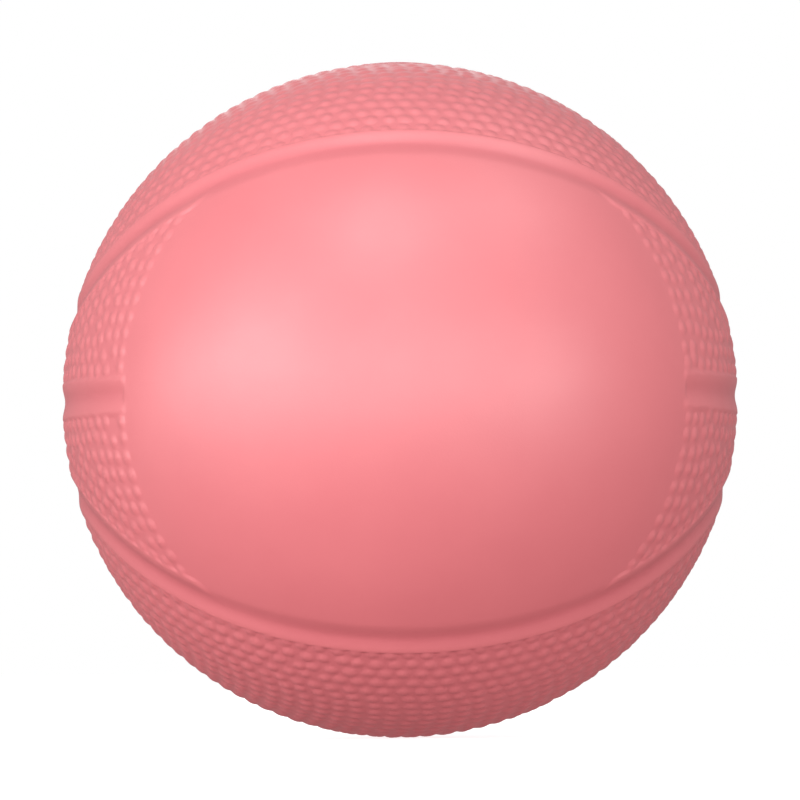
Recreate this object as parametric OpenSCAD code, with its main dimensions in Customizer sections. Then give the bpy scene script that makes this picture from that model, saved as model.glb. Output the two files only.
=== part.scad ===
// Hand-held weighted exercise ball: a soft moulded skin over a thin bag of dry sand.
// The origin is the centre of the ball. +Z runs out through the air stopper, and the two
// smooth pads face -Y and +Y. Sizes are millimetres.

/* [Ball] */
// Diameter over the tops of the pebbles
ball_d = 127; // [120:1:140]
// Wall of the moulded skin
skin_wall = 3; // [2.6:0.1:3.4]
// Angle at the ball's centre between the middle of a pad and its edge
pad_angle = 57; // [50:1:60]

/* [Grooves] */
// Width of a groove at the skin's surface
groove_w = 6.8; // [5:0.1:8]
// Depth of a groove at its middle
groove_depth = 0.65; // [0.4:0.05:0.9]
// Angle from the pole to the middle of an oval groove, measured towards a pad
oval_front = 42; // [38:0.5:44]
// Angle from the pole to the middle of an oval groove, measured towards a side
oval_side = 72.5; // [68:0.5:76]
// Radius of an oval's tight ends, as an angle at the ball's centre
oval_end = 18.5; // [16:0.5:20]

/* [Air port] */
// Diameter of the stopper's flat head
head_d = 8; // [7:0.5:8.5]
// Bore of the port sleeve that the stopper's shank goes into
port_bore_d = 5; // [4.4:0.1:5.4]
// Bore of the sleeve's inner end, which holds the valve core and the filter
core_bore_d = 6; // [5.6:0.1:6.4]
// Length of the port sleeve
sleeve_l = 13; // [12.5:0.1:14]

/* [Filling] */
// Wall of the inner bag
bag_wall = 0.8; // [0.6:0.1:1]
// Height of the sand's level above the centre, as a share of the sand's radius
sand_level = 0.59; // [0.4:0.01:0.7]

/* [Hidden] */
$fn = 96;

skin_colour = "#e8919a";
plug_colour = "#df858f";
bag_colour = "#d9d6cf";
sand_colour = "#c8a877";
ring_colour = "#efefec";
core_colour = "#6a6a6e";
felt_colour = "#8f8f8c";

ball_r = ball_d / 2;
inner_r = ball_r - skin_wall;     // the skin's inside

gap = 0.1;                        // between pieces that lie against each other
run = 0.05;                       // radial clearance of a piece in its bore
cut = 1;                          // how far a cutter runs past the face it opens

// A groove's section is a shallow arc, drawn as flats and carried on past the skin's surface
overrun = 1.25;
flats = 7;
arc_r = (pow(groove_w / 2, 2) + pow(groove_depth, 2)) / (2 * groove_depth);
arc_half = asin(groove_w / 2 / arc_r) * overrun;

// The oval grooves are four-centre ovals drawn on the sphere: each has two long arcs that
// face the pads and two tight end arcs that face the sides, tangent to each other.
end_tilt = oval_side - oval_end;
lead = oval_front - oval_end;
long_tilt = atan((cos(lead) - cos(end_tilt)) / sin(lead));
long_radius = oval_front + long_tilt;
long_sweep = atan2(sin(end_tilt), cos(end_tilt) * sin(long_tilt));
end_sweep = atan2(sin(long_tilt), cos(long_tilt) * sin(end_tilt));

// Air port at the +Z pole
head_t = 1.2;
flange_rim = 1.5;                 // width of the flange outside the head
flange_t = 2.2;
sleeve_wall = 0.9;
lip_w = 0.6;
lip_t = 0.9;
neck_r = 8.5;
neck_l = 3;                       // how far the skin's moulded neck stands in from its inside
head_r = head_d / 2;
head_top_z = ball_r - gap;        // the flat head lies just inside the ball's outline
seat_z = head_top_z - head_t;
flange_r = head_r + flange_rim;
barrel_r = core_bore_d / 2 + sleeve_wall;
sleeve_end_z = ball_r - sleeve_l;
lip_r = barrel_r + lip_w;
neck_z = inner_r - neck_l;

// Inner bag
bag_r = inner_r - gap;
bag_inner_r = bag_r - bag_wall;
collar_r = barrel_r + gap / 2 + bag_wall;
collar_top_z = neck_z - gap - bag_wall;
collar_z = sleeve_end_z + lip_t + gap;

// Neck ring
ring_wall = 1.3;
ring_l = 1.8;

// Filter and valve core, one behind the other in the sleeve's inner end
filter_t = 1.4;
core_l = 4;
core_z = sleeve_end_z + filter_t;
core_hole_r = 0.5;
core_funnel_r = 1.6;
core_funnel_l = 1.4;

// Stopper
tip_room = 0.6;                   // between the valve core and the stopper's tip
tip_r = 1.6;
tip_l = 1.2;
bead_h = 0.3;
bead_l = 0.9;
bead_inset = 0.3;                 // from the lower bead to the taper
bead_drop = 0.8;                  // from the head to the upper bead
stopper_tip_z = core_z + core_l + tip_room;
bead_r = port_bore_d / 2 - run;
shank_r = bead_r - bead_h;

sand_r = bag_inner_r - gap;

// A cylinder that stands on the z axis between two heights
module post(r, z0, z1) {
    translate([0, 0, z0]) cylinder(r = r, h = z1 - z0);
}

// A groove's section, drawn straight up from the skin's surface
module groove_section() {
    polygon([for (i = [0 : flats]) let (a = arc_half * (2 * i / flats - 1))
        [arc_r * sin(a), arc_r * (1 - cos(a)) - groove_depth]]);
}

// An arc of groove on the sphere, at an angle from +Z and centred on +X
module groove_arc(angle_from_pole, half_sweep) {
    rotate([0, 0, -half_sweep])
        rotate_extrude(angle = 2 * half_sweep)
            rotate(-angle_from_pole) translate([0, ball_r]) groove_section();
}

module oval_groove() {
    for (turn = [0, 180]) rotate([0, 0, turn]) {
        rotate([-long_tilt, 0, 0]) rotate([0, 0, -90]) groove_arc(long_radius, long_sweep);
        rotate([0, end_tilt, 0]) groove_arc(oval_end, end_sweep);
    }
}

// The groove round the middle stops at the edges of the two pads
module belt_groove() {
    difference() {
        rotate_extrude() rotate(-90) translate([0, ball_r]) groove_section();
        rotate([90, 0, 0]) cylinder(r = ball_r * sin(pad_angle), h = 2 * ball_d, center = true);
    }
}

module skin() {
    color(skin_colour) difference() {
        union() {
            difference() {
                sphere(r = ball_r);
                sphere(r = inner_r);
            }
            intersection() {
                post(neck_r, neck_z, ball_r);
                sphere(r = ball_r);
            }
        }
        belt_groove();
        oval_groove();
        mirror([0, 0, 1]) oval_groove();
        post(barrel_r + gap / 2, neck_z - cut, ball_r + cut);
        post(flange_r + gap / 2, ball_r - flange_t - gap / 2, ball_r + cut);
    }
}

// The bag follows the skin, and is folded in round the neck to make a collar on the sleeve
module inner_bag() {
    color(bag_colour) difference() {
        union() {
            difference() {
                sphere(r = bag_r);
                difference() {
                    sphere(r = bag_inner_r);
                    post(neck_r + gap + bag_wall, collar_top_z, ball_r);
                }
            }
            post(collar_r, collar_z, collar_top_z + bag_wall / 2);
        }
        post(neck_r + gap, neck_z - gap, ball_r);
        post(barrel_r + gap / 2, collar_z - cut, ball_r);
    }
}

module sand_fill() {
    color(sand_colour) difference() {
        sphere(r = sand_r);
        translate([-ball_d, -ball_d, sand_level * sand_r]) cube([2 * ball_d, 2 * ball_d, ball_d]);
    }
}

module port_sleeve() {
    color(ring_colour) difference() {
        union() {
            intersection() {
                post(flange_r, ball_r - flange_t, ball_r);
                sphere(r = ball_r);
            }
            post(barrel_r, sleeve_end_z, ball_r - flange_t + cut);
            post(lip_r, sleeve_end_z, sleeve_end_z + lip_t);
        }
        post(port_bore_d / 2, sleeve_end_z - cut, ball_r);
        post(core_bore_d / 2, sleeve_end_z - cut, core_z + core_l + run);
        post(head_r + run, seat_z - run, ball_r);
    }
}

module neck_ring() {
    ring_z = (collar_top_z + collar_z - ring_l) / 2;
    color(ring_colour) difference() {
        post(collar_r + gap / 2 + ring_wall, ring_z, ring_z + ring_l);
        post(collar_r + gap / 2, ring_z - cut, ring_z + ring_l + cut);
    }
}

// A rubber bush with a funnel that leads an inflating needle into its hole
module valve_core() {
    core_top_z = core_z + core_l;
    color(core_colour) rotate_extrude() polygon([
        [core_hole_r, core_z], [core_bore_d / 2 - run, core_z], [core_bore_d / 2 - run, core_top_z],
        [core_funnel_r, core_top_z], [core_hole_r, core_top_z - core_funnel_l]
    ]);
}

module port_filter() {
    color(felt_colour) post(core_bore_d / 2 - run, sleeve_end_z, core_z - run);
}

// Flat head, plain shank with two sealing beads and a tapered tip
module stopper() {
    bead_1_z = seat_z - bead_drop;
    bead_2_z = stopper_tip_z + tip_l + bead_l + bead_inset;
    color(plug_colour) rotate_extrude() polygon([
        [0, stopper_tip_z], [tip_r, stopper_tip_z], [shank_r, stopper_tip_z + tip_l],
        [shank_r, bead_2_z - bead_l], [bead_r, bead_2_z - bead_l], [bead_r, bead_2_z],
        [shank_r, bead_2_z], [shank_r, bead_1_z - bead_l], [bead_r, bead_1_z - bead_l],
        [bead_r, bead_1_z], [shank_r, bead_1_z], [shank_r, seat_z], [head_r, seat_z],
        [head_r, head_top_z], [0, head_top_z]
    ]);
}

skin();
inner_bag();
sand_fill();
port_sleeve();
neck_ring();
valve_core();
port_filter();
stopper();
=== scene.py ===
import math
import random

import bmesh
import bpy
import numpy as np
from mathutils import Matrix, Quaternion, Vector
from mathutils.kdtree import KDTree


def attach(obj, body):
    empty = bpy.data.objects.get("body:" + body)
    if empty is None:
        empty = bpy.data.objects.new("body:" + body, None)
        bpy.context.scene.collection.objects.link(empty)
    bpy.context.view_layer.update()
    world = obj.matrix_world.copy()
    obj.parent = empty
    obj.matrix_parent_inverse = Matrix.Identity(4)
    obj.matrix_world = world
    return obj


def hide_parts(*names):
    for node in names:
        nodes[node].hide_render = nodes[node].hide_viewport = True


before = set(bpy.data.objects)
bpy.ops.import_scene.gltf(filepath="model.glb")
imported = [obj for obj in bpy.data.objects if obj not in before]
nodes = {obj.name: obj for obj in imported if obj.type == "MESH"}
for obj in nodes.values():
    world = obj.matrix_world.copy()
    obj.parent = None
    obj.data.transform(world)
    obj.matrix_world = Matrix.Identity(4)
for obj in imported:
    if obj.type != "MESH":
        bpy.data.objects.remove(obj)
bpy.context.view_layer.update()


# The sand: dry washed sand that fills most of the bag and gives the ball its weight.
# It is poured in through the port before the valve core is pressed home, and it settles to a
# level inside the bag.


def new_finish(name):
    """A material with its shader, and a function that adds a node and sets its inputs."""
    material = bpy.data.materials.new(name)
    material.use_nodes = True
    tree = material.node_tree
    shader = tree.nodes["Principled BSDF"]

    def add(kind, settings=(), **inputs):
        node = tree.nodes.new(kind)
        for key, value in dict(settings).items():
            setattr(node, key, value)
        for key, value in inputs.items():
            socket = node.inputs[int(key[1:])] if key[0] == "i" and key[1:].isdigit() \
                else node.inputs[key.replace("_", " ")]
            if isinstance(value, bpy.types.NodeSocket):
                tree.links.new(value, socket)
            else:
                socket.default_value = value
        return node

    return material, shader, add


def colour_ramp(add, factor, stops):
    """Shades along a factor: stops are (place, colour) pairs."""
    ramp = add("ShaderNodeValToRGB", Fac=factor)
    entries = ramp.color_ramp.elements
    while len(entries) < len(stops):
        entries.new(0.5)
    for entry, (place, colour) in zip(entries, stops):
        entry.position = place
        entry.color = (*colour, 1)
    return ramp.outputs["Color"]


def wear(node, material):
    """The piece's only finish."""
    node.data.materials.clear()
    node.data.materials.append(material)


sand_grain = 0.00045              # across one grain
sand_finish, shader, add = new_finish("dry_sand")
place = add("ShaderNodeTexCoord").outputs["Object"]
grains = add("ShaderNodeTexVoronoi", Vector=place, Scale=1 / sand_grain)
tones = add("ShaderNodeSeparateColor", Color=grains.outputs["Color"])
grain_colour = colour_ramp(add, tones.outputs["Red"], [
    (0.0, (0.30, 0.18, 0.08)), (0.25, (0.52, 0.35, 0.17)), (0.8, (0.68, 0.51, 0.30)),
    (1.0, (0.83, 0.74, 0.58))])
shader.inputs["Roughness"].default_value = 0.85
grain_bump = add("ShaderNodeBump", {"invert": True}, Strength=0.8, Distance=sand_grain / 2,
                 Height=grains.outputs["Distance"])
sand_finish.node_tree.links.new(grain_colour, shader.inputs["Base Color"])
sand_finish.node_tree.links.new(grain_bump.outputs["Normal"], shader.inputs["Normal"])
wear(nodes["sand_fill"], sand_finish)


# The inner bag: a thin bag of natural vinyl film that holds the sand against the skin.
# It is welded from two halves, and its collar is folded in round the port sleeve.

bag_finish, shader, add = new_finish("bag_film")
place = add("ShaderNodeTexCoord").outputs["Object"]
folds = add("ShaderNodeTexNoise", Vector=place, Scale=90, Detail=5, Distortion=1.4)
cloud = add("ShaderNodeTexNoise", Vector=place, Scale=35, Detail=2)
film_colour = colour_ramp(add, cloud.outputs["Fac"], [
    (0.3, (0.60, 0.57, 0.50)), (0.7, (0.76, 0.74, 0.69))])
film_gloss = add("ShaderNodeMapRange", i0=folds.outputs["Fac"], i3=0.28, i4=0.42)
film_bump = add("ShaderNodeBump", Strength=0.5, Distance=0.0006, Height=folds.outputs["Fac"])
tree = bag_finish.node_tree
tree.links.new(film_colour, shader.inputs["Base Color"])
tree.links.new(film_gloss.outputs["Result"], shader.inputs["Roughness"])
tree.links.new(film_bump.outputs["Normal"], shader.inputs["Normal"])
wear(nodes["inner_bag"], bag_finish)


# The port sleeve: a soft vinyl tube with a flange at its outer end, moulded in the skin's colour.
# The flange is welded into the pocket at the top of the skin, and the tube reaches down through
# the bag's collar. Its bore steps down for the stopper and opens out for the valve core.


def turned(name, outline, edge_round, steps=72, rings=2):
    """A closed half section (radius, height) spun about the z axis, with its corners rounded."""
    bm = bmesh.new()
    corners = [bm.verts.new((r, 0, z)) for r, z in outline]
    on_axis = outline[0][0] == 0
    lines = [bm.edges.new(pair) for pair in zip(corners, corners[1:])]
    if not on_axis:
        lines.append(bm.edges.new((corners[-1], corners[0])))
    bmesh.ops.spin(bm, geom=corners + lines, cent=(0, 0, 0), axis=(0, 0, 1), dvec=(0, 0, 0),
                   angle=2 * math.pi, steps=steps, use_merge=True, use_duplicate=False)
    rounded_from, sharp_from = math.radians(30), math.radians(40)
    level = 1e-7                  # points closer than this are one, and edges flatter are level
    bmesh.ops.remove_doubles(bm, verts=bm.verts, dist=level)
    bmesh.ops.recalc_face_normals(bm, faces=bm.faces)
    hoops = [e for e in bm.edges if abs(e.verts[0].co.z - e.verts[1].co.z) < level
             and abs(e.verts[0].co.length - e.verts[1].co.length) < level
             and e.calc_face_angle(0) > rounded_from]
    bmesh.ops.bevel(bm, geom=hoops, offset=edge_round, offset_type="OFFSET", segments=rings,
                    profile=0.5, affect="EDGES", material=-1)
    bmesh.ops.recalc_face_normals(bm, faces=bm.faces)
    for face in bm.faces:
        face.smooth = True
    for e in bm.edges:
        e.smooth = e.calc_face_angle(0) < sharp_from
    mesh = bpy.data.meshes.new(name)
    bm.to_mesh(mesh)
    bm.free()
    piece = bpy.data.objects.new(name, mesh)
    bpy.context.scene.collection.objects.link(piece)
    return piece


def vinyl(name, top, hollow_shade, shell_r, depth):
    """Soft moulded vinyl: `top` on raised surfaces, with painted shade darkening it towards the
    bottom of hollows.
    """
    material, shader, add = new_finish(name)
    place = add("ShaderNodeTexCoord").outputs["Object"]
    reach = add("ShaderNodeVectorMath", {"operation": "LENGTH"}, i0=place).outputs["Value"]
    # painted shade: the colour darkens with depth below shell_r, into grooves and other hollows
    height = add("ShaderNodeMapRange", i0=reach, i1=shell_r - depth, i2=shell_r)
    mottle = add("ShaderNodeTexNoise", Vector=place, Scale=55, Detail=3)
    shift = add("ShaderNodeMapRange", i0=mottle.outputs["Fac"], i1=0.3, i2=0.7, i3=-0.12, i4=0.12)
    level = add("ShaderNodeMath", {"operation": "ADD", "use_clamp": True},
                i0=height.outputs["Result"], i1=shift.outputs["Result"])
    colour = colour_ramp(add, level.outputs["Value"], [(0.0, hollow_shade), (0.85, top)])
    pores = add("ShaderNodeTexNoise", Vector=place, Scale=2600, Detail=2)
    swirl = add("ShaderNodeTexNoise", Vector=place, Scale=160, Detail=3)
    blend = add("ShaderNodeMath", {"operation": "MULTIPLY_ADD"}, i0=swirl.outputs["Fac"], i1=1.5,
                i2=pores.outputs["Fac"])
    gloss = add("ShaderNodeMapRange", i0=blend.outputs["Value"], i1=0.9, i2=1.6, i3=0.42, i4=0.48)
    bump = add("ShaderNodeBump", Strength=0.35, Distance=0.00004, Height=blend.outputs["Value"])
    tree = material.node_tree
    tree.links.new(colour, shader.inputs["Base Color"])
    tree.links.new(gloss.outputs["Result"], shader.inputs["Roughness"])
    tree.links.new(bump.outputs["Normal"], shader.inputs["Normal"])
    shader.inputs["Specular IOR Level"].default_value = 0.55
    return material


ball_r = 0.0635                   # over the tops of the pebbles
flange_r, flange_t = 0.0055, 0.0022
head_pocket_r, head_pocket_z = 0.00405, 0.06215
port_r, core_bore_r, core_bore_z = 0.0025, 0.003, 0.05595
barrel_r, sleeve_end = 0.0039, 0.0505
lip_r, lip_top = 0.0045, 0.0514


def on_ball(r):
    """Height of the ball's surface at a radius from the port's axis."""
    return math.sqrt(ball_r ** 2 - r ** 2)


sleeve = turned("port_sleeve_moulding", [
    (head_pocket_r, on_ball(head_pocket_r)), (flange_r, on_ball(flange_r)),
    (flange_r, ball_r - flange_t), (barrel_r, ball_r - flange_t), (barrel_r, lip_top),
    (lip_r, lip_top), (lip_r, sleeve_end), (core_bore_r, sleeve_end), (core_bore_r, core_bore_z),
    (port_r, core_bore_z), (port_r, head_pocket_z), (head_pocket_r, head_pocket_z)], 0.00018)
# painted shade: the sleeve's colour darkens with depth below the ball's surface, down into its bore
wear(sleeve, vinyl("sleeve_vinyl", (0.470, 0.128, 0.140), (0.37, 0.085, 0.098), ball_r, 0.004))
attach(sleeve, "ball")
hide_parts("port_sleeve")


# The neck ring: a moulded nylon ring pushed over the bag's collar, which it clamps on the sleeve.
# It is natural nylon, a little cloudy, with fine flow marks round it.

ring_finish, shader, add = new_finish("ring_nylon")
place = add("ShaderNodeTexCoord").outputs["Object"]
flow = add("ShaderNodeMapping", Vector=place, Scale=(120, 120, 900))
streaks = add("ShaderNodeTexNoise", Vector=flow.outputs["Vector"], Scale=1, Detail=3)
nylon_colour = colour_ramp(add, streaks.outputs["Fac"], [
    (0.3, (0.74, 0.73, 0.68)), (0.7, (0.86, 0.86, 0.83))])
nylon_bump = add("ShaderNodeBump", Strength=0.2, Distance=0.0001, Height=streaks.outputs["Fac"])
shader.inputs["Roughness"].default_value = 0.38
tree = ring_finish.node_tree
tree.links.new(nylon_colour, shader.inputs["Base Color"])
tree.links.new(nylon_bump.outputs["Normal"], shader.inputs["Normal"])
wear(nodes["neck_ring"], ring_finish)


# The port filter: a punched disc of grey felt at the sleeve's inner end.
# It lets air past and keeps the sand out of the valve core.

felt_finish, shader, add = new_finish("filter_felt")
place = add("ShaderNodeTexCoord").outputs["Object"]
lay = add("ShaderNodeMapping", Vector=place, Scale=(2200, 700, 2200))
fibres = add("ShaderNodeTexNoise", Vector=lay.outputs["Vector"], Scale=1, Detail=6, Distortion=2.5)
felt_colour = colour_ramp(add, fibres.outputs["Fac"], [
    (0.3, (0.13, 0.13, 0.125)), (0.7, (0.42, 0.42, 0.40))])
felt_bump = add("ShaderNodeBump", Strength=0.9, Distance=0.0002, Height=fibres.outputs["Fac"])
shader.inputs["Roughness"].default_value = 0.95
tree = felt_finish.node_tree
tree.links.new(felt_colour, shader.inputs["Base Color"])
tree.links.new(felt_bump.outputs["Normal"], shader.inputs["Normal"])
wear(nodes["port_filter"], felt_finish)


# The valve core: a bush of dark natural rubber pressed into the sleeve above the filter.
# Its small hole closes by itself, and opens to an inflating needle.

core_finish, shader, add = new_finish("core_rubber")
place = add("ShaderNodeTexCoord").outputs["Object"]
bloom = add("ShaderNodeTexNoise", Vector=place, Scale=600, Detail=4)
rubber_colour = colour_ramp(add, bloom.outputs["Fac"], [
    (0.35, (0.035, 0.035, 0.038)), (0.7, (0.11, 0.11, 0.115))])
rubber_gloss = add("ShaderNodeMapRange", i0=bloom.outputs["Fac"], i3=0.5, i4=0.75)
rubber_bump = add("ShaderNodeBump", Strength=0.3, Distance=0.00005, Height=bloom.outputs["Fac"])
tree = core_finish.node_tree
tree.links.new(rubber_colour, shader.inputs["Base Color"])
tree.links.new(rubber_gloss.outputs["Result"], shader.inputs["Roughness"])
tree.links.new(rubber_bump.outputs["Normal"], shader.inputs["Normal"])
wear(nodes["valve_core"], core_finish)


# The skin: one hollow moulding of soft vinyl, a few millimetres thick, cast in a turning mould.
# The mould gives it two smooth pads for the palms, an oval groove round each end, a groove round
# the middle between the pads, and rows of pebbles over the rest. It is drawn in six areas that
# meet in the grooves and at the pads' edges.

skin_wall = 0.003
pad_edge = math.radians(54.2)     # from the middle of a pad to its edge, at the ball's centre
oval_x = math.sin(math.radians(75.0))
oval_y = math.sin(math.radians(44.5))
oval_half = 0.0035                # from a groove's middle to its shoulder
belt_half = 0.0033
groove_floor = 0.00070            # the depths are below the tops of the pebbles
belt_floor = 0.00058
shoulder = 0.00003
pad_depth = 0.00033
ground = 0.00031
lip_fall = 0.00045                # how far the fall from a shoulder to the ground takes
pad_fade = 0.0008
port_collar = (0.0067, 0.0072)    # the plain ring of skin round the port ends between these

pebble_pitch = 0.0033             # along a row
row_pitch = 0.0030
pebble_r = 0.00142
pebble_rows_from = {"oval": 0.0041, "belt": 0.0047, "pad": 0.0016, "port": 0.0088}
pebble_least_gap = 0.8 * row_pitch
cap_rows, side_rows = 26, 6       # rows that are tried outwards from each line
jitter = 0.00016                  # how far a pebble strays from its place
size_range, height_range = (0.90, 1.06), (0.78, 1.0)
dome_shape = 1.1                  # 1 is a parabola
spare = 60000                     # places tried for pebbles in what the rows leave bare
slack = 0.00025                   # how much nearer to a groove than its own row a pebble may lie
seed = 11


def rise(start, end, value):
    """0 before start, 1 after end, and smooth between them."""
    t = np.clip((value - start) / (end - start), 0, 1)
    return t * t * (3 - 2 * t)


def unit(d):
    return d / np.linalg.norm(d, axis=-1, keepdims=True)


def from_oval(d):
    """Distance along the skin from an oval groove's middle, below zero towards the ball's end."""
    value = (d[:, 0] / oval_x) ** 2 + (d[:, 1] / oval_y) ** 2 - 1
    slope = np.stack((2 * d[:, 0] / oval_x ** 2, 2 * d[:, 1] / oval_y ** 2, 0 * value), 1)
    slope -= (slope * d).sum(1)[:, None] * d
    least_slope = 0.05            # keeps the distance finite at the ball's ends
    return ball_r * value / np.maximum(np.linalg.norm(slope, axis=1), least_slope)


def from_belt(d):
    return ball_r * np.arcsin(np.clip(d[:, 2], -1, 1))


def from_pad(d):
    """Distance along the skin from the nearer pad's edge, below zero on the pad."""
    return ball_r * (np.arccos(np.clip(np.abs(d[:, 1]), -1, 1)) - pad_edge)


def from_port(d):
    return np.where(d[:, 2] > 0, ball_r * np.hypot(d[:, 0], d[:, 1]), ball_r)


def hollow(distance, half):
    """A groove's section: 1 at its middle, 0 at its shoulders."""
    return 0.5 * (1 + np.cos(np.pi * np.clip(np.abs(distance) / half, 0, 1)))


def oval_line(start, end, steps=2400):
    """Directions along the upper oval groove's middle, between two turns about the z axis."""
    turn = np.linspace(start, end, steps)
    across = 1 / np.hypot(np.cos(turn) / oval_x, np.sin(turn) / oval_y)
    return np.stack((across * np.cos(turn), across * np.sin(turn), np.sqrt(1 - across ** 2)), 1)


corner_y = math.cos(pad_edge)     # where a pad's edge meets an oval groove
corner_x = oval_x * math.sqrt(1 - (corner_y / oval_y) ** 2)
corner_turn = math.atan2(corner_y, corner_x)
corner_lift = math.acos(corner_x / math.sin(pad_edge))


def pad_line(steps=2400):
    """Directions up the edge of the -Y pad on its +X side, from one oval groove to the other."""
    lift = np.linspace(-corner_lift, corner_lift, steps)
    return np.stack((math.sin(pad_edge) * np.cos(lift), np.full(steps, -corner_y),
                     math.sin(pad_edge) * np.sin(lift)), 1)


def belt_line(steps=2400):
    """Directions along the middle groove on the +X side, from pad to pad."""
    turn = np.linspace(pad_edge - math.pi / 2, math.pi / 2 - pad_edge, steps)
    return np.stack((np.cos(turn), np.sin(turn), 0 * turn), 1)


def stepped(line, count):
    """`count` directions spaced evenly along a line of them."""
    run = np.concatenate(([0], np.cumsum(np.linalg.norm(np.diff(line, axis=0), axis=1))))
    at = np.linspace(0, run[-1], count)
    return unit(np.stack([np.interp(at, run, line[:, k]) for k in range(3)], 1))


def row_beside(line, offset, stagger):
    """Pebble places along a line moved sideways over the skin by offset."""
    side = unit(np.cross(line, np.gradient(line, axis=0)))
    moved = unit(line * math.cos(offset / ball_r) + side * math.sin(offset / ball_r))
    length = ball_r * np.linalg.norm(np.diff(moved, axis=0), axis=1).sum()
    count = max(2, round(length / pebble_pitch))
    places = stepped(moved, 2 * count + 1)
    return places[(1 if stagger else 0)::2]


def turned_to(d, signs):
    return d * np.array(signs)


full_oval = oval_line(-math.pi, math.pi)
side_oval = oval_line(-corner_turn, corner_turn)
rows = []
for k in range(cap_rows):
    odd = k % 2
    for up in (1, -1):
        rows.append(("cap", turned_to(
            row_beside(full_oval, pebble_rows_from["oval"] + k * row_pitch, odd), (1, 1, up))))
for k in range(side_rows):
    odd = k % 2
    for east in (1, -1):
        for south in (1, -1):
            rows.append(("side", turned_to(
                row_beside(pad_line(), -pebble_rows_from["pad"] - k * row_pitch, odd),
                (east, south, 1))))
        for up in (1, -1):
            rows.append(("side", turned_to(
                row_beside(side_oval, -pebble_rows_from["oval"] - k * row_pitch, odd),
                (east, 1, up))))
            rows.append(("side", turned_to(
                row_beside(belt_line(), pebble_rows_from["belt"] + k * row_pitch, odd),
                (east, 1, up))))

dice = random.Random(seed)
golden_turn = math.pi * (3 - math.sqrt(5))
fill = np.arange(spare) + 0.5
fill_z = 1 - 2 * fill / spare
fill_across = np.sqrt(1 - fill_z ** 2)
rows.append(("any", np.stack((fill_across * np.cos(golden_turn * fill),
                              fill_across * np.sin(golden_turn * fill), fill_z), 1)))


def free_ground(d):
    """Which directions leave a pebble clear of every groove, pad and the port."""
    s = from_oval(d)
    cap = s < 0
    clear_of_oval = np.abs(s) > pebble_rows_from["oval"] - slack
    clear_of_belt = np.abs(from_belt(d)) > pebble_rows_from["belt"] - slack
    clear_of_pad = cap | (from_pad(d) > pebble_rows_from["pad"] - slack)
    clear_of_port = from_port(d) > pebble_rows_from["port"]
    return clear_of_oval & clear_of_belt & clear_of_pad & clear_of_port


pebbles = np.zeros((0, 3))
for kind, places in rows:
    places = places[free_ground(places)]
    if kind != "any":
        inside = from_oval(places) < 0
        places = places[inside if kind == "cap" else ~inside]
    gap = pebble_least_gap / ball_r
    near = KDTree(len(pebbles) + 1)
    for number, p in enumerate(pebbles):
        near.insert(p, number)
    near.insert((0, 0, 0), len(pebbles))
    near.balance()
    fresh = []
    for p in places:
        if near.find(p)[2] < gap:
            continue
        if fresh and np.min(np.linalg.norm(np.array(fresh) - p, axis=1)) < gap:
            continue
        fresh.append(p)
    if fresh:
        pebbles = np.concatenate((pebbles, np.array(fresh)))
shake = np.array([[dice.gauss(0, jitter / ball_r) for _ in range(3)] for _ in pebbles])
pebbles = unit(pebbles + shake)
pebble_size = np.array([pebble_r * dice.uniform(*size_range) for _ in pebbles])
pebble_height = np.array([ground * dice.uniform(*height_range) for _ in pebbles])
pebble_tree = KDTree(len(pebbles))
for number, p in enumerate(pebbles):
    pebble_tree.insert(p * ball_r, number)
pebble_tree.balance()


def skin_radius(d):
    """Distance of the skin's outer surface from the ball's centre, for each direction."""
    oval, belt, port = from_oval(d), from_belt(d), from_port(d)
    pad = (oval > 0) * (1 - rise(-pad_fade, pad_fade, from_pad(d)))
    rim = shoulder + (pad_depth - shoulder) * pad
    pebbled = (1 - pad) * rise(oval_half, oval_half + lip_fall, np.abs(oval)) \
        * rise(belt_half, belt_half + lip_fall, np.abs(belt)) * rise(*port_collar, port)
    depth = rim + (ground - shoulder) * pebbled
    depth += np.maximum((groove_floor - rim) * hollow(oval, oval_half),
                        (1 - pad) * (belt_floor - rim) * hollow(belt, belt_half))
    found = [pebble_tree.find(p)[1:] for p in d * ball_r]
    number = np.array([f[0] for f in found])
    apart = np.array([f[1] for f in found])
    dome = pebble_height[number] * np.maximum(1 - (apart / pebble_size[number]) ** 2, 0) ** dome_shape
    return ball_r - np.where(dome > 0, np.minimum(depth, ground - dome), depth)


def between(s, t, low, high, left, right):
    """Flat places inside four edges, each an array of flat points: s runs along low and high."""
    def along(edge, u):
        at = u * (len(edge) - 1)
        return np.stack([np.interp(at, np.arange(len(edge)), edge[:, k]) for k in range(2)], 1)
    s_, t_ = s[:, None], t[:, None]
    corners = (1 - s_) * (1 - t_) * low[0] + s_ * (1 - t_) * low[-1] \
        + (1 - s_) * t_ * high[0] + s_ * t_ * high[-1]
    return (1 - t_) * along(low, s) + t_ * along(high, s) \
        + (1 - s_) * along(left, t) + s_ * along(right, t) - corners


def spread(verts, edges, middle, first, second, margin=0.0):
    """Directions for a flat grid's vertices, evenly over the area inside four edges."""
    axes = np.array((first, second), float)

    def flatten(d):
        angle = np.arccos(np.clip(d @ middle, -1, 1))[:, None]
        return (d @ axes.T) * angle / np.maximum(np.sin(angle), 1e-12)

    grid = np.array([v.co[:2] for v in verts]) / 2 + 0.5
    grid = margin + (1 - 2 * margin) * grid
    flat = between(grid[:, 0], grid[:, 1], *[flatten(e) for e in edges])
    angle = np.linalg.norm(flat, axis=1)[:, None]
    return np.cos(angle) * middle + (flat @ axes) * np.sinc(angle / np.pi)


def place_all(verts, points):
    for v, p in zip(verts, points):
        v.co = p


def ring_of(edges):
    return {v for e in edges for v in e.verts}


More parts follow.
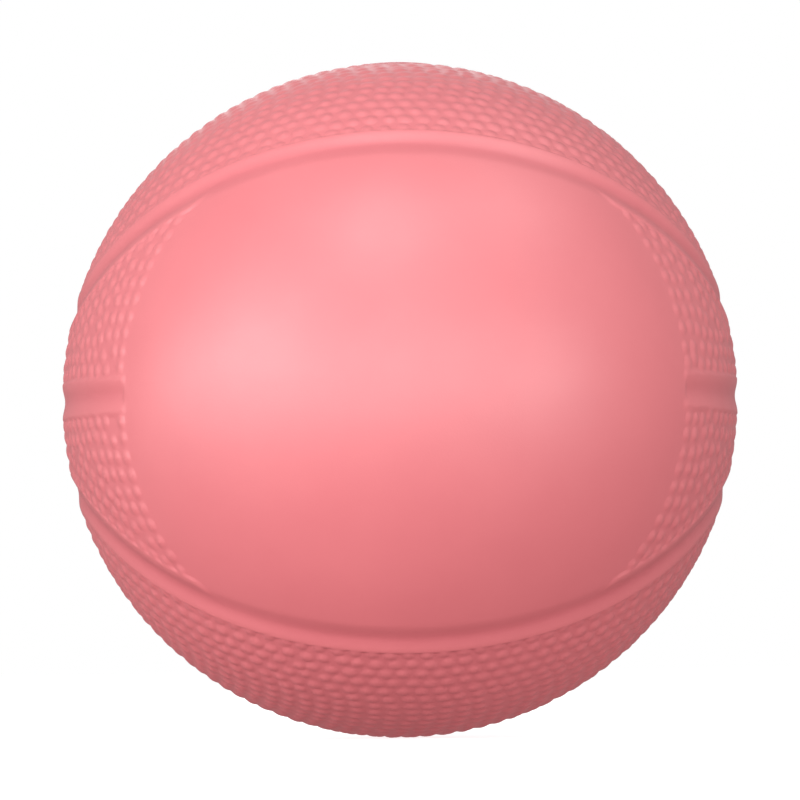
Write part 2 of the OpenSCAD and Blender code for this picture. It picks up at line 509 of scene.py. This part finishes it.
def draw_in(bm, edges, radius, height):
    """Extrudes the port's edge to a ring of that radius and height, and returns the new edge."""
    grown = bmesh.ops.extrude_edge_only(bm, edges=edges)["geom"]
    for v in (g for g in grown if isinstance(g, bmesh.types.BMVert)):
        flat = Vector((v.co.x, v.co.y, 0)).normalized() * radius
        v.co = flat + Vector((0, 0, height))
    return [g for g in grown if isinstance(g, bmesh.types.BMEdge) and g.is_boundary]


neck_r, neck_low = 0.0085, 0.0575
play = 0.00005                    # between the skin and the sleeve
hole_r = flange_r + play          # the pocket for the sleeve's flange
inner_r = ball_r - skin_wall
neck_clear = 0.001                # bare strip between the neck and the inside's grid
port_weld = 0.00012               # joins the cut grid's points where they crowd round the pocket
coarse = 10                       # squares of the outside to one of the inside, along each way
inside_margin = 0.015             # the inside's grid stops this share short of each edge


def skin_area(name, edges, middle, first, second, counts, port=False):
    """One area of the skin: its outer surface, its inside, and the wall round its edge."""
    bm = bmesh.new()
    bmesh.ops.create_grid(bm, x_segments=counts[0], y_segments=counts[1], size=1)
    outer = list(bm.verts)
    directions = spread(outer, edges, middle, first, second)
    place_all(outer, directions * skin_radius(directions)[:, None])
    rim = [e for e in bm.edges if e.is_boundary]
    port_rim = []
    if port:
        cut = [f for f in bm.faces
               if math.hypot(*f.calc_center_median()[:2]) < hole_r]
        bmesh.ops.delete(bm, geom=cut, context="FACES")
        rim_set = set(rim)
        ragged = ring_of(e for e in bm.edges if e.is_boundary and e not in rim_set)
        for v in ragged:
            flat = Vector((v.co.x, v.co.y)).normalized() * hole_r
            v.co = (*flat, on_ball(hole_r) - shoulder)
        bmesh.ops.remove_doubles(bm, verts=list(ragged), dist=port_weld)
        port_rim = [e for e in bm.edges if e.is_boundary and e not in rim_set]
        rim = [e for e in bm.edges if e.is_boundary and e in rim_set]
    wall_edge = bmesh.ops.extrude_edge_only(bm, edges=rim)["geom"]
    for v in (g for g in wall_edge if isinstance(g, bmesh.types.BMVert)):
        v.co = v.co.normalized() * inner_r
    inner_rim = [g for g in wall_edge if isinstance(g, bmesh.types.BMEdge) and g.is_boundary]
    creases = list(rim) + list(inner_rim)
    if port:
        creases += port_rim
        ledge = ball_r - flange_t - play
        for radius, height in ((hole_r, ledge), (barrel_r + play, ledge),
                               (barrel_r + play, neck_low), (neck_r, neck_low),
                               (neck_r, math.sqrt(inner_r ** 2 - neck_r ** 2))):
            port_rim = draw_in(bm, port_rim, radius, height)
            creases += port_rim
    known = set(bm.verts)
    bmesh.ops.create_grid(bm, x_segments=counts[0] // coarse, y_segments=counts[1] // coarse,
                          size=1)
    inside = [v for v in bm.verts if v not in known]
    place_all(inside, spread(inside, edges, middle, first, second, inside_margin) * inner_r)
    if port:
        cut = {f for v in inside if math.hypot(*v.co[:2]) < neck_r + neck_clear for f in v.link_faces}
        bmesh.ops.delete(bm, geom=list(cut), context="FACES")
    inside_rim = [e for e in bm.edges if e.is_boundary and e.verts[0] not in known]
    if port:
        near_port = [e for e in inside_rim if math.hypot(*e.verts[0].co[:2]) < 3 * neck_r]
        inside_rim = [e for e in inside_rim if e not in set(near_port)]
        bmesh.ops.bridge_loops(bm, edges=port_rim + near_port)
    bmesh.ops.bridge_loops(bm, edges=inner_rim + inside_rim)
    bmesh.ops.recalc_face_normals(bm, faces=bm.faces)
    for face in bm.faces:
        face.smooth = True
    for e in creases:
        if e.is_valid:
            e.smooth = False
    mesh = bpy.data.meshes.new(name)
    bm.to_mesh(mesh)
    bm.free()
    piece = bpy.data.objects.new(name, mesh)
    bpy.context.scene.collection.objects.link(piece)
    piece.data.materials.append(skin_vinyl)
    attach(piece, "ball")
    return piece


# painted shade: the skin's colour darkens into its grooves and between its pebbles
skin_vinyl = vinyl("skin_vinyl", (0.490, 0.136, 0.148), (0.435, 0.108, 0.122), ball_r, 0.0009)

count_x, count_y, count_z = 380, 220, 170
front_oval = oval_line(corner_turn - math.pi, -corner_turn)
up_x, up_y, up_z = np.eye(3)
skins = []
for up, name in ((1, "skin_top"), (-1, "skin_bottom")):
    front = turned_to(stepped(front_oval, count_x + 1), (1, 1, up))
    right = turned_to(stepped(side_oval, count_y + 1), (1, 1, up))
    skins.append(skin_area(
        name, (front, turned_to(front, (1, -1, 1)), turned_to(right, (-1, 1, 1)), right),
        up * up_z, up_x, up_y, (count_x, count_y), port=up > 0))
for east, name in ((1, "skin_right"), (-1, "skin_left")):
    top = turned_to(stepped(side_oval, count_y + 1), (east, 1, 1))
    front = turned_to(stepped(pad_line(), count_z + 1), (east, 1, 1))
    skins.append(skin_area(
        name, (turned_to(top, (1, 1, -1)), top, front, turned_to(front, (1, -1, 1))),
        east * up_x, up_y, up_z, (count_y, count_z)))
for south, name in ((1, "skin_front_pad"), (-1, "skin_back_pad")):
    top = turned_to(stepped(front_oval, count_x // 2 + 1), (1, south, 1))
    right = turned_to(stepped(pad_line(), count_z + 1), (1, south, 1))
    skins.append(skin_area(
        name, (turned_to(top, (1, 1, -1)), top, turned_to(right, (-1, 1, 1)), right),
        -south * up_y, up_x, up_z, (count_x // 2, count_z)))
for piece in skins:
    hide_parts("skin")


# The stopper: a solid plug of the skin's own soft vinyl, pushed into the sleeve by its flat head.
# Two beads round its shank seal the bore, and its tip is tapered to find the way in.

head_r, head_top, seat = 0.004, 0.0634, 0.0622
bead_r, shank_r, bead_l = 0.00245, 0.00215, 0.0009
tip_r, tip_l, tip_z = 0.0016, 0.0012, 0.0565
dish_r, dish_d = 0.0026, 0.00018
upper_bead, lower_bead = seat - 0.0008, tip_z + tip_l + bead_l + 0.0003
stopper = turned("stopper_plug", [
    (0, tip_z), (tip_r, tip_z), (shank_r, tip_z + tip_l),
    (shank_r, lower_bead - bead_l), (bead_r, lower_bead - bead_l), (bead_r, lower_bead),
    (shank_r, lower_bead), (shank_r, upper_bead - bead_l), (bead_r, upper_bead - bead_l),
    (bead_r, upper_bead), (shank_r, upper_bead), (shank_r, seat), (head_r, seat),
    (head_r, head_top), (dish_r, head_top), (dish_r - dish_d, head_top - dish_d),
    (0, head_top - dish_d)], 0.0001)
# painted shade: the plug's colour darkens with depth down its shank
wear(stopper, vinyl("plug_vinyl", (0.435, 0.112, 0.125), (0.34, 0.072, 0.085), ball_r, 0.003))
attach(stopper, "stopper")
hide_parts("stopper")


# The room: a plain white floor and a white surround, which lights the ball warmly from below. A low
# row of broad soft lamps stands across the front, with a key lamp to the left, a low fill to the
# right, two high lamps and one behind.

floor_half = 3
bm = bmesh.new()
bmesh.ops.create_grid(bm, x_segments=8, y_segments=8, size=floor_half)
bmesh.ops.translate(bm, verts=bm.verts, vec=(0, 0, -ball_r))
floor_mesh = bpy.data.meshes.new("floor")
bm.to_mesh(floor_mesh)
bm.free()
floor = bpy.data.objects.new("floor", floor_mesh)
bpy.context.scene.collection.objects.link(floor)
floor_finish, shader, add = new_finish("white_floor")
place = add("ShaderNodeTexCoord").outputs["Object"]
patchy = add("ShaderNodeTexNoise", Vector=place, Scale=2)
pale = colour_ramp(add, patchy.outputs["Fac"], [
    (0.0, (0.42, 0.42, 0.42)), (1.0, (0.46, 0.46, 0.46))])
shader.inputs["Emission Color"].default_value = (1, 1, 1, 1)
shader.inputs["Emission Strength"].default_value = 0.85
floor_finish.node_tree.links.new(pale, shader.inputs["Base Color"])
shader.inputs["Roughness"].default_value = 0.9
shader.inputs["Specular IOR Level"].default_value = 0.1
wear(floor, floor_finish)
floor.visible_diffuse = False       # the ball is lit by the lamps and the surround alone
floor.visible_glossy = False

surround_glow = 0.35              # what the surround adds to the ball's light
bounce_tint = (1.9, 0.98, 1.03, 1)                # the warm light from below
bounce_start, bounce_full = -0.1, -0.5            # heights of a ray between which it comes in
world = bpy.data.worlds.new("surround")
world.use_nodes = True
tree = world.node_tree
backing = tree.nodes["Background"]
ray = tree.nodes.new("ShaderNodeLightPath")
glow = tree.nodes.new("ShaderNodeMapRange")
glow.inputs["To Min"].default_value = surround_glow
tree.links.new(ray.outputs["Is Camera Ray"], glow.inputs["Value"])
tree.links.new(glow.outputs["Result"], backing.inputs["Strength"])
aim = tree.nodes.new("ShaderNodeTexCoord")
parts = tree.nodes.new("ShaderNodeSeparateXYZ")
tree.links.new(aim.outputs["Generated"], parts.inputs["Vector"])
below = tree.nodes.new("ShaderNodeMapRange")
below.inputs["From Min"].default_value = bounce_start
below.inputs["From Max"].default_value = bounce_full
tree.links.new(parts.outputs["Z"], below.inputs["Value"])
unseen = tree.nodes.new("ShaderNodeMath")
unseen.operation = "SUBTRACT"
unseen.use_clamp = True
tree.links.new(below.outputs["Result"], unseen.inputs[0])
tree.links.new(ray.outputs["Is Camera Ray"], unseen.inputs[1])
bounce = tree.nodes.new("ShaderNodeMix")
bounce.data_type = "RGBA"
bounce.inputs["A"].default_value = (1, 1, 1, 1)
bounce.inputs["B"].default_value = bounce_tint
tree.links.new(unseen.outputs["Value"], bounce.inputs["Factor"])
tree.links.new(bounce.outputs["Result"], backing.inputs["Color"])
bpy.context.scene.world = world


def towards(turn, lift, distance):
    """A place seen from the ball's centre: turn is from the front towards +X, in degrees."""
    a, e = math.radians(turn), math.radians(lift)
    return distance * Vector((math.sin(a) * math.cos(e), -math.cos(a) * math.cos(e), math.sin(e)))


lamp_width, lamp_distance = 0.5, 1.1
lamp_bank = [(turn, 5, 5.9) for turn in range(-75, 51, 25)]    # turn, lift and brightness
lamp_bank += [(-50, 20, 6.5), (25, 5, 2), (-10, 55, 7.5), (60, 55, 4), (180, 20, 2.5)]
for number, (turn, lift, brightness) in enumerate(lamp_bank):
    lamp_data = bpy.data.lights.new(f"lamp_{number}", "AREA")
    lamp_data.shape = "DISK"
    lamp_data.size = lamp_width
    lamp_data.energy = brightness * (math.pi * lamp_width / 2) ** 2
    lamp = bpy.data.objects.new(f"lamp_{number}", lamp_data)
    lamp.location = towards(turn, lift, lamp_distance)
    lamp.rotation_euler = (-lamp.location).to_track_quat("-Z", "Y").to_euler()
    bpy.context.scene.collection.objects.link(lamp)
bpy.context.scene.view_settings.view_transform = "Standard"


# The camera: far off with a long lens, a little to the left of the ball's middle and a little
# below it, and rolled slightly.

camera_turn, camera_lift, camera_distance = -1.45, -2.2, 1.2
camera_roll = 0.6                 # degrees, with the ball's +X side up in the picture
camera_data = bpy.data.cameras.new("camera")
camera_data.lens = 287
camera = bpy.data.objects.new("camera", camera_data)
camera.location = towards(camera_turn, camera_lift, camera_distance)
facing = (-camera.location).to_track_quat("-Z", "Y")
roll = Quaternion((0, 0, 1), math.radians(-camera_roll))
camera.rotation_euler = (facing @ roll).to_euler()
bpy.context.scene.collection.objects.link(camera)
bpy.context.scene.camera = camera
